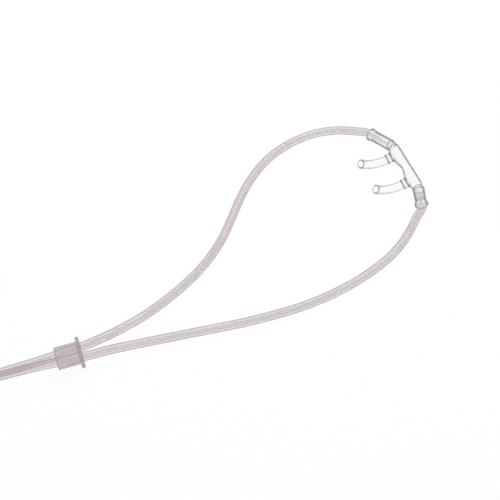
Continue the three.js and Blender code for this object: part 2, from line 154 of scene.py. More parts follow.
# %% The straight pair
LOOP_TUBE_DIAMETER = 4.0 * MM
PAIR_SPACING = 4.2 * MM
PAIR_START = Vector((41.2, -160.7, 6.7)) * MM
PAIR_HEADING = 266
PAIR_PLACES = (0, 4, 9, 15, 23, 34, 47, 61.9)
PAIR_TWIST_START = 38
PAIR_TWIST_GAIN = 74
PAIR_TWIST_REACH = 14


def pair_point(side, along):
    twist = math.radians(PAIR_TWIST_START + PAIR_TWIST_GAIN * (1 - math.exp(-along / PAIR_TWIST_REACH)))
    off = -SIDE_SIGN[side] * PAIR_SPACING / 2
    middle = PAIR_START + heading(PAIR_HEADING) * along * MM
    return middle + heading(PAIR_HEADING - 90) * off * math.cos(twist) + Vector((0, 0, off * math.sin(twist)))


# %% [markdown]
# The length that the photograph doesn't show is stored as a coil. The loop tubes pass round the outside of it and
# into the Y connector, which lies against it, and the supply tube starts there.

# %% Where the coil and the Y connector are
COIL_CENTRE = Vector((-12, -277, 0)) * MM
COIL_OUTER_RADIUS = 42.5
COIL_INNER_RADIUS = 17.5
COIL_HEIGHT = 10.0
Y_LENGTH = 24.0
Y_BORE_SPACING = 5.6
Y_ANGLE = 125
Y_RADIUS = 48.5
Y_MIDDLE_HEIGHT = 3.7


def around_coil(angle, radius, height):
    return COIL_CENTRE + (heading(angle) * radius + Vector((0, 0, height))) * MM


def y_point(along, outward, height=Y_MIDDLE_HEIGHT):
    centre = around_coil(Y_ANGLE, Y_RADIUS, height)
    return centre + (heading(Y_ANGLE - 90) * along + heading(Y_ANGLE) * outward) * MM


# %% [markdown]
# The loop's own points, in millimetres, one list for each tube. They start in front of the socket and end where the
# pair goes straight. The photograph shows all of them. After the pair the tubes come down to the floor, wrap round the
# coil by even steps, close up on each other and enter the Y connector.

# %% The loop
LOOP_POINTS = {
    "left": [
        (-28.4, -2.8, 2.7), (-32.8, -10.8, 2.1), (-34.9, -20.5, 2), (-34.6, -30, 2),
        (-32.4, -40, 2), (-27.8, -50.2, 2), (-21.2, -59.6, 2), (-12.6, -68.6, 2),
        (-3.2, -76.7, 2), (6.6, -85.6, 2), (15, -95.6, 2), (22, -107.2, 2),
        (27.6, -119.6, 2.1), (32, -130.8, 3), (35.7, -142, 5), (38.3, -151.8, 7),
    ],
    "right": [
        (28.7, 0.6, 2.9), (33.6, -4.9, 2.3), (39, -12.2, 2), (43.6, -20.8, 2),
        (47.3, -31.2, 2), (50, -42, 2), (51.8, -54.4, 2), (52.4, -66.9, 2),
        (51.8, -79.1, 2), (50.5, -92, 2), (48.6, -105, 2), (46.5, -118, 2),
        (45, -128.5, 2.2), (44, -138.5, 3.1), (43.4, -149, 4.6),
    ],
}
DESCENT_POINTS = {
    "left": [(36.8, -233, 8.1), (34.4, -246, 5.5), (33.3, -260, 2.6)],
    "right": [(36.2, -233, 3.6), (37.5, -246, 2.1), (37.8, -260, 2)],
}
WRAP_RADIUS = {"left": 45.0, "right": 49.3}
WRAP_HEIGHT = 2.0
WRAP_STEP = 22
WRAP_POINTS = 10
LAST_WRAP_AHEAD = 25
LAST_WRAP_OUT = 0.6
LAST_WRAP_CLOSING = 5
LAST_WRAP_HEIGHT = 2.4
Y_ENTRY_PLACES = (-13.5, -12, -6.5)
STRAIGHT_LEAD = 1.5
TUBE_STOP = 0.3


def loop_tube_points(side):
    forward = SOCKET_DIRECTION[side]
    points = [
        socket_floor(side) + forward * TUBE_STOP * MM,
        socket_mouth(side),
        socket_mouth(side) + forward * STRAIGHT_LEAD * MM,
    ]
    points += [Vector(p) * MM for p in LOOP_POINTS[side]]
    points += [pair_point(side, along) for along in PAIR_PLACES]
    points += [Vector(p) * MM for p in DESCENT_POINTS[side]]
    points += [around_coil(-WRAP_STEP * i, WRAP_RADIUS[side], WRAP_HEIGHT) for i in range(WRAP_POINTS)]
    out = SIDE_SIGN[side] * Y_BORE_SPACING / 2
    last_radius = WRAP_RADIUS[side] + LAST_WRAP_OUT + out / LAST_WRAP_CLOSING
    points.append(around_coil(Y_ANGLE + LAST_WRAP_AHEAD, last_radius, LAST_WRAP_HEIGHT))
    points += [y_point(along, out) for along in Y_ENTRY_PLACES]
    return points


# %% [markdown]
# The supply tube leaves the Y connector, joins the coil, winds inwards on the floor, climbs one layer and winds out
# again on top, as one winds it on the hand. It then rises over the tie and bends into the funnel. The coil's turns
# come from a loop: each point turns a little further and moves in or out by its share of one tube. The short lists
# give the free ends: places by angle, radius and height round the coil, or by length and height at the connector.

# %% The supply tube's route
SUPPLY_TUBE_DIAMETER = 5.0
TIE_ANGLE = 32
TIE_RISE = 0.7
TIE_RISE_REACH = 4.5
BOTTOM_TURNS = 4
TOP_TURNS = 3.93
TURN_STEP = 15
OUTER_TURN = COIL_OUTER_RADIUS - SUPPLY_TUBE_DIAMETER / 2
INNER_TURN = COIL_INNER_RADIUS + SUPPLY_TUBE_DIAMETER / 2
BOTTOM_START = 5
BOTTOM_HEIGHT = 2.5
TOP_START = 70
TOP_HEIGHT = 7.5
TOP_INSET = 0.35
Y_EXIT_PLACES = ((6.5, Y_MIDDLE_HEIGHT), (12, Y_MIDDLE_HEIGHT), (16, 3.4))
LEAD_PLACES = ((97, 49.4, 2.7), (88, 47.2, 2.5), (80, 45.8, 2.5), (73, 45.0, 2.5), (62, 43.2, 2.5), (50, 41.4, 2.5))
CLIMB_PLACES = ((15, 3.6), (45, 6.2))
OVER_PLACES = ((12, 39.6, 9.3), (25, 39.5, 12.3), (40, 39.3, 14.2), (52, 39.0, 13.9))
END_INLET = Vector((4, -300, 15.8))
END_TUBE_DEPTH = 11.7
TAIL_BEND = 22.0
TAIL_RUN_IN = 6
TAIL_DRIFT = 0.3
TAIL_DROP = 3.0
TAIL_STEP = 22.5
TAIL_RISES = (0, 0.4, 1.6, 2.7)
SUPPLY_SPANS = 6


def tie_rise(angle, radius):
    away = (angle - TIE_ANGLE + 180) % 360 - 180
    return TIE_RISE * math.exp(-((math.radians(away) * radius / TIE_RISE_REACH) ** 2))


def coil_layer(first_angle, turns, radius_from, radius_to, height):
    points = []
    steps = round(turns * 360 / TURN_STEP)
    for i in range(steps + 1):
        share = i / steps
        angle = first_angle - share * turns * 360
        radius = radius_from + (radius_to - radius_from) * share
        points.append(around_coil(angle, radius, height + tie_rise(angle, radius)))
    return points


def supply_tube_points():
    lead = [y_point(along, 0, height) for along, height in Y_EXIT_PLACES]
    lead += [around_coil(*place) for place in LEAD_PLACES]
    bottom_start = TIE_ANGLE + BOTTOM_START
    bottom = coil_layer(bottom_start, BOTTOM_TURNS, OUTER_TURN, INNER_TURN, BOTTOM_HEIGHT)
    climb = [around_coil(TIE_ANGLE - past, INNER_TURN, height) for past, height in CLIMB_PLACES]
    top_start = TIE_ANGLE - TOP_START
    top_turns = TOP_TURNS - (bottom_start - top_start) / 360 + BOTTOM_START / 360
    top = coil_layer(top_start, top_turns, INNER_TURN, OUTER_TURN - TOP_INSET, TOP_HEIGHT)
    last_angle = top_start - top_turns * 360
    over = [around_coil(last_angle - past, radius, height) for past, radius, height in OVER_PLACES]
    bend_middle = END_INLET + Vector((0, TAIL_BEND, 0))
    tail = [bend_middle + Vector((TAIL_BEND + TAIL_DRIFT, TAIL_RUN_IN, -TAIL_DROP))]
    for i, rise in enumerate(TAIL_RISES):
        tail.append(bend_middle + heading(-TAIL_STEP * i) * TAIL_BEND + Vector((0, 0, rise - TAIL_DROP)))
    tail += [END_INLET, END_INLET + Vector((-END_TUBE_DEPTH, 0, 0))]
    return lead + bottom + climb + top + over + [p * MM for p in tail]


TUBE_STEP = 1.3 * MM
tube_lines = {side: even_line(smooth_line(loop_tube_points(side)), TUBE_STEP) for side in SIDE_SIGN}
supply_line = even_line(smooth_line(supply_tube_points(), SUPPLY_SPANS), TUBE_STEP)
for name, line in [*tube_lines.items(), ("supply", supply_line)]:
    print(name, "tube:", round(line_length(line), 4), "m in", len(line), "points")


# %% [markdown]
# Clear vinyl isn't painted colour: what shows is the light that a wall keeps back. A wall seen face on keeps back very
# little, and one seen edge on keeps back a lot, which is why a clear tube has dark edges. Layer Weight measures that
# angle, and here it sets the alpha of a pinkish grey plastic. The alpha rises in an S between two turns of the wall:
# it starts late on thin soft walls, which leaves them clear with a fine dark line round them, and early on thick ones.
# Lamp rays and the table's own soft light pass more freely, so that the table under the object stays bright. The faint
# clouding that all the mouldings share is a node group: it gives a mask and a normal.

# %% The shared clouding
RIPPLE_DEPTH = 0.0002


def link_nodes(tree, *pairs):
    for start, end in pairs:
        tree.links.new(start, end)


def clouding_group():
    group = bpy.data.node_groups.new("vinyl_clouding", "ShaderNodeTree")
    for name, value in (("Scale", 60.0), ("Ripple Scale", 400.0), ("Ripple", 0.1)):
        socket = group.interface.new_socket(name, in_out="INPUT", socket_type="NodeSocketFloat")
        socket.default_value = value
    group.interface.new_socket("Cloud", in_out="OUTPUT", socket_type="NodeSocketFloat")
    group.interface.new_socket("Normal", in_out="OUTPUT", socket_type="NodeSocketVector")
    nodes = group.nodes
    inlet = nodes.new("NodeGroupInput")
    outlet = nodes.new("NodeGroupOutput")
    place = nodes.new("ShaderNodeTexCoord")
    cloud = nodes.new("ShaderNodeTexNoise")
    cloud.inputs["Detail"].default_value = 3
    ripple = nodes.new("ShaderNodeTexNoise")
    ripple.inputs["Detail"].default_value = 1
    bump = nodes.new("ShaderNodeBump")
    bump.inputs["Distance"].default_value = RIPPLE_DEPTH
    link_nodes(
        group,
        (place.outputs["Object"], cloud.inputs["Vector"]),
        (place.outputs["Object"], ripple.inputs["Vector"]),
        (inlet.outputs["Scale"], cloud.inputs["Scale"]),
        (inlet.outputs["Ripple Scale"], ripple.inputs["Scale"]),
        (inlet.outputs["Ripple"], bump.inputs["Strength"]),
        (ripple.outputs["Fac"], bump.inputs["Height"]),
        (cloud.outputs["Fac"], outlet.inputs["Cloud"]),
        (bump.outputs["Normal"], outlet.inputs["Normal"]),
    )
    return group


CLOUDING = clouding_group()


# %% [markdown]
# A ray crosses a dozen walls or more where a tube lies in its socket or in the slider. Cycles lets it pass eight, and
# what lies behind the eighth is black, so the limit is raised.

# %% Clear vinyl
LAMP_LIGHT_LET_THROUGH = 0.9
WALLS_SEEN_THROUGH = 48
VINYL_IOR = 1.53
CLOUD_SCALE = 60.0
CLOUD_EDGES = (0.3, 0.7)
bpy.context.scene.cycles.transparent_max_bounces = WALLS_SEEN_THROUGH


def clear_vinyl(name, pale, deep, alphas, turns, roughness=0.12, ripple=0.1):
    """Alphas are those of a wall seen face on and edge on. Turns are how far it turns, from 0 to 1, between the two."""
    material = bpy.data.materials.new(name)
    material.use_nodes = True
    tree = material.node_tree
    tree.nodes.clear()
    output = tree.nodes.new("ShaderNodeOutputMaterial")
    shader = tree.nodes.new("ShaderNodeBsdfPrincipled")
    shader.inputs["Roughness"].default_value = roughness
    shader.inputs["IOR"].default_value = VINYL_IOR
    clouding = tree.nodes.new("ShaderNodeGroup")
    clouding.node_tree = CLOUDING
    clouding.inputs["Scale"].default_value = CLOUD_SCALE
    clouding.inputs["Ripple"].default_value = ripple
    colour = tree.nodes.new("ShaderNodeValToRGB")
    for element, position, tint in zip(colour.color_ramp.elements, CLOUD_EDGES, (deep, pale)):
        element.position = position
        element.color = (*tint, 1)
    facing = tree.nodes.new("ShaderNodeLayerWeight")
    facing.inputs["Blend"].default_value = 0.5
    alpha = tree.nodes.new("ShaderNodeMapRange")
    alpha.interpolation_type = "SMOOTHSTEP"
    alpha.inputs["From Min"].default_value = turns[0]
    alpha.inputs["From Max"].default_value = turns[1]
    alpha.inputs["To Min"].default_value = alphas[0]
    alpha.inputs["To Max"].default_value = alphas[1]
    lamps = tree.nodes.new("ShaderNodeLightPath")
    through = tree.nodes.new("ShaderNodeBsdfTransparent")
    share = tree.nodes.new("ShaderNodeMath")
    share.operation = "MULTIPLY"
    share.inputs[1].default_value = LAMP_LIGHT_LET_THROUGH
    mix = tree.nodes.new("ShaderNodeMixShader")
    soft_mix = tree.nodes.new("ShaderNodeMixShader")
    link_nodes(
        tree,
        (clouding.outputs["Cloud"], colour.inputs["Fac"]),
        (clouding.outputs["Normal"], shader.inputs["Normal"]),
        (colour.outputs["Color"], shader.inputs["Base Color"]),
        (facing.outputs["Facing"], alpha.inputs["Value"]),
        (alpha.outputs["Result"], shader.inputs["Alpha"]),
        (lamps.outputs["Is Shadow Ray"], share.inputs[0]),
        (share.outputs["Value"], mix.inputs["Fac"]),
        (shader.outputs["BSDF"], mix.inputs[1]),
        (through.outputs["BSDF"], mix.inputs[2]),
        (lamps.outputs["Is Diffuse Ray"], soft_mix.inputs["Fac"]),
        (mix.outputs["Shader"], soft_mix.inputs[1]),
        (through.outputs["BSDF"], soft_mix.inputs[2]),
        (soft_mix.outputs["Shader"], output.inputs["Surface"]),
    )
    return material


# %% [markdown]
# The finishes, each by its pale and deep tint, its two alphas and the two turns between which the alpha rises. The
# tube's skin is glossy and its bore nearly even, and a bonded stretch is nearly clear. The strap, the prongs and their
# bores are the clearest. The near white finish on the walls of the strap's duct is a painted highlight, which makes the
# strap look paler. Rims, flanges and seams get darker finishes of their own, which are painted shade for the dark lines
# that clear vinyl shows where it is seen edge on. The slider is a little greyer, and the funnel is milky.

# %% The clear finishes
TUBE_VINYL = clear_vinyl(
    "tube_vinyl", (0.42, 0.34, 0.36), (0.37, 0.30, 0.32), alphas=(0.20, 0.66), turns=(0.0, 0.78), ripple=0.02
)
TUBE_BORE = clear_vinyl(
    "tube_bore", (0.42, 0.34, 0.365), (0.38, 0.305, 0.33), alphas=(0.21, 0.30), turns=(0.2, 1.0), ripple=0.0
)
STRAP_VINYL = clear_vinyl("strap_vinyl", (0.20, 0.17, 0.175), (0.16, 0.135, 0.14), (0.02, 0.95), (0.12, 0.72), 0.08)
NASAL_VINYL = clear_vinyl("nasal_vinyl", (0.26, 0.225, 0.23), (0.22, 0.19, 0.195), (0.02, 0.85), (0.3, 0.95), 0.08)
BORE_VINYL = clear_vinyl("bore_vinyl", (0.36, 0.32, 0.33), (0.32, 0.28, 0.29), (0.01, 0.45), (0.45, 0.95), 0.08)
# Painted highlight: a near white finish for the walls of the duct inside the strap, which stands in for the bright
# highlight on the strap's front.
STRAP_HIGHLIGHT_VINYL = clear_vinyl("strap_highlight_vinyl", (0.95, 0.89, 0.89), (0.90, 0.84, 0.84), (0.30, 0.5), (0.3, 1.0), 0.3)
BONDED_VINYL = clear_vinyl(
    "bonded_vinyl", (0.42, 0.34, 0.36), (0.37, 0.30, 0.32), alphas=(0.06, 0.45), turns=(0.3, 1.0), ripple=0.0
)
# Painted shade: a dark, nearly opaque finish that stands in for the dark lines that clear vinyl shows at rims, flanges
# and seams seen edge on.
EDGE_SHADE_VINYL = clear_vinyl("edge_shade_vinyl", (0.20, 0.165, 0.17), (0.16, 0.135, 0.14), (0.6, 0.95), (0.0, 0.8))
SLIDER_VINYL = clear_vinyl(
    "slider_vinyl", (0.42, 0.33, 0.325), (0.38, 0.30, 0.295), alphas=(0.15, 0.8), turns=(0.2, 0.95),
    roughness=0.2, ripple=0.03,
)
# Painted shade: a darker finish for the slider's flange rim and barrel end, standing in for the dark lines that they
# show edge on.
SLIDER_EDGE_SHADE = clear_vinyl("slider_edge_shade", (0.34, 0.285, 0.285), (0.30, 0.25, 0.25), (0.45, 0.9), (0.0, 0.9), 0.2)
CONNECTOR_VINYL = clear_vinyl("connector_vinyl", (0.36, 0.33, 0.33), (0.32, 0.29, 0.29), (0.06, 0.8), (0.35, 0.95))
FUNNEL_VINYL = clear_vinyl("funnel_vinyl", (0.72, 0.70, 0.69), (0.66, 0.64, 0.63), (0.35, 0.9), (0.3, 1.0), 0.3)


# %% [markdown]
# The tie is a flat white plastic band with a fine matt grain across it, so its material is an ordinary opaque one.

# %% Tie material
def tie_plastic():
    material = bpy.data.materials.new("tie_plastic")
    material.use_nodes = True
    tree = material.node_tree
    shader = tree.nodes["Principled BSDF"]
    shader.inputs["Roughness"].default_value = 0.55
    clouding = tree.nodes.new("ShaderNodeGroup")
    clouding.node_tree = CLOUDING
    clouding.inputs["Scale"].default_value = 900.0
    clouding.inputs["Ripple"].default_value = 0.3
    colour = tree.nodes.new("ShaderNodeValToRGB")
    colour.color_ramp.elements[0].color = (0.80, 0.80, 0.79, 1)
    colour.color_ramp.elements[1].color = (0.93, 0.93, 0.92, 1)
    link_nodes(
        tree,
        (clouding.outputs["Cloud"], colour.inputs["Fac"]),
        (colour.outputs["Color"], shader.inputs["Base Color"]),
        (clouding.outputs["Normal"], shader.inputs["Normal"]),
    )
    return material


TIE_PLASTIC = tie_plastic()
print("materials:", sorted(m.name for m in bpy.data.materials))


# %% [markdown]
# Oxygen tube has a star shaped bore, so that a kink or a knee can't close it. From outside, the star's ribs are the
# soft darker lines that run all along the tube. Geometry Nodes sweep the two sections, a circle and a star, along the
# route with Curve to Mesh. The star's ends are drawn back a little and its faces turned, so that it is a closed
# hollow inside a closed tube. Capture Attribute marks the star's faces, so that they can have a finish of their own.

# %% The tube's node tree
def tree_with_sockets(name, inputs):
    tree = bpy.data.node_groups.new(name, "GeometryNodeTree")
    tree.interface.new_socket("Geometry", in_out="INPUT", socket_type="NodeSocketGeometry")
    for label, kind, value in inputs:
        socket = tree.interface.new_socket(label, in_out="INPUT", socket_type=kind)
        if value is not None:
            socket.default_value = value
    tree.interface.new_socket("Geometry", in_out="OUTPUT", socket_type="NodeSocketGeometry")
    return tree, tree.nodes.new("NodeGroupInput"), tree.nodes.new("NodeGroupOutput")


def ribbed_tube_tree():
    tree, inlet, outlet = tree_with_sockets("ribbed_tube", [
        ("Radius", "NodeSocketFloat", 0.002),
        ("Sides", "NodeSocketInt", 24),
        ("Bore Radius", "NodeSocketFloat", 0.0013),
        ("Rib Radius", "NodeSocketFloat", 0.0008),
        ("Ribs", "NodeSocketInt", 5),
        ("End Wall", "NodeSocketFloat", 0.0004),
        ("Material", "NodeSocketMaterial", None),
        ("Bore Material", "NodeSocketMaterial", None),
    ])
    nodes = tree.nodes
    circle = nodes.new("GeometryNodeCurvePrimitiveCircle")
    wall = nodes.new("GeometryNodeCurveToMesh")
    wall.inputs["Fill Caps"].default_value = True
    star = nodes.new("GeometryNodeCurveStar")
    length = nodes.new("GeometryNodeCurveLength")
    stop = nodes.new("ShaderNodeMath")
    stop.operation = "SUBTRACT"
    trim = nodes.new("GeometryNodeTrimCurve")
    trim.mode = "LENGTH"
    bore = nodes.new("GeometryNodeCurveToMesh")
    bore.inputs["Fill Caps"].default_value = True
    flip = nodes.new("GeometryNodeFlipFaces")
    mark = nodes.new("GeometryNodeCaptureAttribute")
    mark.domain = "FACE"
    mark.capture_items.new("BOOLEAN", "Bore")
    mark.inputs["Bore"].default_value = True
    join = nodes.new("GeometryNodeJoinGeometry")
    smooth = nodes.new("GeometryNodeSetShadeSmooth")
    realize = nodes.new("GeometryNodeRealizeInstances")
    coat = nodes.new("GeometryNodeSetMaterial")
    finish = nodes.new("GeometryNodeSetMaterial")
    link_nodes(
        tree,
        (inlet.outputs["Radius"], circle.inputs["Radius"]),
        (inlet.outputs["Sides"], circle.inputs["Resolution"]),
        (inlet.outputs["Geometry"], wall.inputs["Curve"]),
        (circle.outputs["Curve"], wall.inputs["Profile Curve"]),
        (inlet.outputs["Bore Radius"], star.inputs["Outer Radius"]),
        (inlet.outputs["Rib Radius"], star.inputs["Inner Radius"]),
        (inlet.outputs["Ribs"], star.inputs["Points"]),
        (inlet.outputs["Geometry"], length.inputs["Curve"]),
        (length.outputs["Length"], stop.inputs[0]),
        (inlet.outputs["End Wall"], stop.inputs[1]),
        (inlet.outputs["Geometry"], trim.inputs["Curve"]),
        (inlet.outputs["End Wall"], trim.inputs[4]),
        (stop.outputs["Value"], trim.inputs[5]),
        (trim.outputs["Curve"], bore.inputs["Curve"]),
        (star.outputs["Curve"], bore.inputs["Profile Curve"]),
        (bore.outputs["Mesh"], flip.inputs["Mesh"]),
        (flip.outputs["Mesh"], mark.inputs["Geometry"]),
        (mark.outputs["Geometry"], join.inputs["Geometry"]),
        (wall.outputs["Mesh"], join.inputs["Geometry"]),
        (join.outputs["Geometry"], smooth.inputs["Geometry"]),
        (smooth.outputs["Geometry"], realize.inputs["Geometry"]),
        (realize.outputs["Geometry"], coat.inputs["Geometry"]),
        (inlet.outputs["Material"], coat.inputs["Material"]),
        (coat.outputs["Geometry"], finish.inputs["Geometry"]),
        (mark.outputs["Bore"], finish.inputs["Selection"]),
        (inlet.outputs["Bore Material"], finish.inputs["Material"]),
        (finish.outputs["Geometry"], outlet.inputs["Geometry"]),
    )
    return tree


RIBBED_TUBE = ribbed_tube_tree()


# %% Making a mesh from a node tree
def set_inputs(modifier, values):
    for item in modifier.node_group.interface.items_tree:
        if item.item_type == "SOCKET" and item.in_out == "INPUT" and item.name in values:
            modifier[item.identifier] = values[item.name]


def mesh_of(source):
    graph = bpy.context.evaluated_depsgraph_get()
    return bpy.data.meshes.new_from_object(source.evaluated_get(graph), preserve_all_data_layers=True, depsgraph=graph)


def new_object(name, data):
    made = bpy.data.objects.new(name, data)
    bpy.context.scene.collection.objects.link(made)
    return made


def tree_mesh(name, source, tree, values):
    modifier = source.modifiers.new("shape", "NODES")
    modifier.node_group = tree
    set_inputs(modifier, values)
    bpy.context.view_layer.update()
    made = new_object(name, mesh_of(source))
    made.data.name = name
    bpy.data.objects.remove(source)
    print(name, "has", len(made.data.polygons), "faces")
    return made


def guide_curve(name, line):
    curve = bpy.data.curves.new(name, "CURVE")
    curve.dimensions = "3D"
    spline = curve.splines.new("POLY")
    spline.points.add(len(line) - 1)
    for knot, place in zip(spline.points, line):
        knot.co = (*place, 1)
    return new_object(name, curve)


# %% [markdown]
# The three tubes. The two of the loop are about half a metre each and the supply tube is about 1.64 metres, which
# makes the usual seven feet of tubing. The loop's tubes are 4 mm thick and the supply tube is 5 mm.

# %% Tubes
BORE_SHARE = 0.45
RIB_SHARE = 0.24
BORE_POINTS = 5
LOOP_TUBE_SIDES = 24
SUPPLY_TUBE_SIDES = 20


def tube(name, line, diameter, sides):
    radius = diameter / 2
    return tree_mesh(name, guide_curve(name + "_guide", line), RIBBED_TUBE, {
        "Radius": radius,
        "Sides": sides,
        "Bore Radius": radius * BORE_SHARE,
        "Rib Radius": radius * RIB_SHARE,
        "Ribs": BORE_POINTS,
        "Material": TUBE_VINYL,
        "Bore Material": TUBE_BORE,
    })


loop_tubes = {
    side: tube("loop_tube_" + side, tube_lines[side], LOOP_TUBE_DIAMETER, LOOP_TUBE_SIDES) for side in SIDE_SIGN
}
supply_tube = tube("supply_tube_coiled", supply_line, SUPPLY_TUBE_DIAMETER * MM, SUPPLY_TUBE_SIDES)


# %% [markdown]
# Each loop tube is bonded into its socket with solvent, so the two walls become one and the tube's own skin hardly
# shows there. Its streaks still do. The faces that lie between the socket's floor and its mouth get that finish.

# %% Bonded ends
def bond(piece, side):
    coat = [slot.name if slot else "" for slot in piece.data.materials].index(TUBE_VINYL.name)
    piece.data.materials.append(BONDED_VINYL)
    bonded = 0
    for face in piece.data.polygons:
        back = socket_mouth(side) - face.center
        inside = 0 < back.dot(SOCKET_DIRECTION[side]) and back.length < SOCKET_LENGTH[side]
        if inside and face.material_index == coat:
            face.material_index = len(piece.data.materials) - 1
            bonded += 1
    print(piece.name, bonded, "faces bonded into the socket")


for side, piece in loop_tubes.items():
    bond(piece, side)


# %% [markdown]
# The mouldings are built from rings: a list of closed outlines that are joined one to the next and closed at the ends.
# A turned piece is the same thing with round outlines, so one helper makes both.

# %% Rings and turned pieces
def ring_mesh(name, rings, closed=False):
    mesh = bmesh.new()
    rows = [[mesh.verts.new(p) for p in ring] for ring in rings]
    pairs = list(zip(rows, rows[1:])) + ([(rows[-1], rows[0])] if closed else [])
    for row, after in pairs:
        for i in range(len(row)):
            j = (i + 1) % len(row)
            mesh.faces.new((row[i], row[j], after[j], after[i]))
    if not closed:
        mesh.faces.new(rows[0][::-1])
        mesh.faces.new(rows[-1])
    bmesh.ops.recalc_face_normals(mesh, faces=mesh.faces)
    data = bpy.data.meshes.new(name)
    mesh.to_mesh(data)
    mesh.free()
    return new_object(name, data)


def frame_along(direction):
    return direction.normalized().to_track_quat("Z", "Y").to_matrix()


def turned(name, profile, start, direction, sides, closed=False):
    turn = frame_along(direction)
    rings = []
    for radius, along in profile:
        angles = [2 * math.pi * i / sides for i in range(sides)]
        local = [Vector((radius * math.cos(a), radius * math.sin(a), along)) * MM for a in angles]
        rings.append([start + turn @ p for p in local])
    return ring_mesh(name, rings, closed)


def rounded_corner(radius_in, along_in, radius_out, along_out, bulge, steps=4):
    """A quarter bend between two profile points. Bulge 0 leaves the first point outwards, and 1 leaves it forwards."""
    bend = []
    for i in range(steps + 1):
        s, c = math.sin(math.pi / 2 * i / steps), 1 - math.cos(math.pi / 2 * i / steps)
        across, forward = (s, c) if bulge == 0 else (c, s)
        bend.append((radius_in + (radius_out - radius_in) * across, along_in + (along_out - along_in) * forward))
    return bend


# %% Finishing a mesh
SHARP_ANGLE = math.radians(48)


def finished(piece):
    piece.data = mesh_of(piece)
    piece.modifiers.clear()
    return piece


def combine(piece, others, operation):
    for other in others:
        cut = piece.modifiers.new(operation.lower(), "BOOLEAN")
        cut.operation = operation
        cut.solver = "EXACT"
        cut.material_mode = "TRANSFER"
        cut.object = other
        bpy.context.view_layer.update()
        finished(piece)
        bpy.data.objects.remove(other)
    return piece


def coated(piece, material):
    piece.data.materials.clear()
    piece.data.materials.append(material)
    return piece


def edged(piece, material, sides, *rows):
    """Gives rows of a ring mesh a second material. Each row is the band between a ring and the next."""
    piece.data.materials.append(material)
    for face in piece.data.polygons:
        if any(first <= face.index // sides < stop for first, stop in rows):
            face.material_index = len(piece.data.materials) - 1
    return piece


def dressed(piece, body, slot, *nodes):
    for face in piece.data.polygons:
        face.use_smooth = True
    piece.data.set_sharp_from_angle(angle=SHARP_ANGLE)
    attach(piece, body)
    if nodes:
        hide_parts(*nodes)
    print(piece.name, "has", len(piece.data.polygons), "faces")
    return piece


# %% [markdown]
# The nasal piece is one soft moulding. Its strap is a rounded oblong bar that lies along X and has rolled forward on to
# its prongs, with two slight shoulders and a notch between them. Each shoulder carries a short collar with two thin
# flanges, and a curved hollow prong. The strap is lofted from sections, the prongs are swept, and the collars, sockets
# and seam lines are turned. Boolean joins make them one skin, with the crisp seams that the mould leaves, and the air
# ways are cut last. The strap's own air way is a wide duct that follows its outline, and its walls get a near white
# finish, a painted highlight that makes the strap look paler than the rest.

# %% Nasal piece sizes
BODY_ROLL = math.radians(18)
STRAP_WIDTH = 5.5
STRAP_THICKNESS = 4.6
STRAP_SQUARENESS = 2.8
SHOULDER_REACH = 0.3
SHOULDER_WIDTH = 7.2
NOTCH_DEPTH = 0.9
STRAP_TIP_SWELL = 0.02
PRONG_SPACING = 16.2
NOTCH_REACH = PRONG_SPACING / 5
PRONG_DIAMETER = 4.1
PRONG_BORE = 3.1
PRONG_LENGTH = 16.4
PRONG_CURL = math.radians(56)
PRONG_BENDS = 16
PRONG_STEP = 0.5 * MM
PRONG_SIDES = 28
LIP_SWELL = 0.15
LIP_ROUNDING = 0.35
LIP_LENGTH = 0.8
LIP_PLACES = (0.3, 0.5, 0.7, 0.85, 0.95, 1.0)
COLLAR_DIAMETER = 5.2
COLLAR_FLANGES = (0.75, 2.75)
COLLAR_FLANGE_WIDTH = 0.55
COLLAR_ROUNDING = 0.15
COLLAR_GROOVE = 0.35
COLLAR_LENGTH = 3.3
COLLAR_SET = 2.2
SOCKET_DIAMETER = 5.4
SOCKET_BORE = 4.4
RIM_DIAMETER = 6.2
RIM_LENGTH = 1.1
RIM_SLOPE = 0.5
RIM_ROUNDING = 0.2
SEAM_PLACE = 1.4
SEAM_RISE = 0.12
SEAM_ROOT = 0.3
SEAM_HALF_WIDTHS = (0.2, 0.35)
TURNED_SIDES = 36
AIR_CHANNEL = 2.8
rolled = Matrix.Translation(BODY_CENTRE) @ Matrix.Rotation(BODY_ROLL, 4, "X")


# %% The strap
def strap_front(along):
    shoulder = math.exp(-(((abs(along) - PRONG_SPACING / 2) / (SHOULDER_WIDTH / 2)) ** 2))
    notch = math.exp(-((along / NOTCH_REACH) ** 2))
    return STRAP_WIDTH / 2 + SHOULDER_REACH * shoulder - NOTCH_DEPTH * notch


def squared(share):
    return math.copysign(abs(share) ** (2 / STRAP_SQUARENESS), share)


def strap_form(name, wall, end_wall, steps=72, sides=40):
    """The strap's outer form, or the duct inside it when the walls are more than 0."""
    half = STRAP_LENGTH / MM / 2 - end_wall
    back = STRAP_WIDTH / 2 - wall
    rings = []
    for i in range(steps + 1):
        along = half * math.sin(math.pi / 2 * (2 * i / steps - 1))
        short = max(0.0, 1 - (half - abs(along)) / back)
        swell = math.sqrt(max(STRAP_TIP_SWELL, 1 - short * short))
        ring = []
        for j in range(sides):
            angle = 2 * math.pi * j / sides
            across = squared(math.cos(angle)) * swell
            reach = strap_front(along) - wall if across < 0 else back
            upward = squared(math.sin(angle)) * swell * (STRAP_THICKNESS / 2 - wall)
            ring.append(rolled @ (Vector((along, across * reach, upward)) * MM))
        rings.append(ring)
    return ring_mesh(name, rings)


# %% The prongs
def prong_line(side, start, tip_extra=0.0):
    radius = PRONG_LENGTH / PRONG_CURL
    root = COLLAR_SET + COLLAR_LENGTH / 2
    x = SIDE_SIGN[side] * PRONG_SPACING / 2
    points = [Vector((x, -start, 0))]
    for i in range(PRONG_BENDS + 1):
        angle = PRONG_CURL * i / PRONG_BENDS
        points.append(Vector((x, -root - radius * math.sin(angle), radius * (1 - math.cos(angle)))))
    if tip_extra:
        points.append(points[-1] + Vector((0, -math.cos(PRONG_CURL), math.sin(PRONG_CURL))) * tip_extra)
    return [rolled @ (p * MM) for p in points]


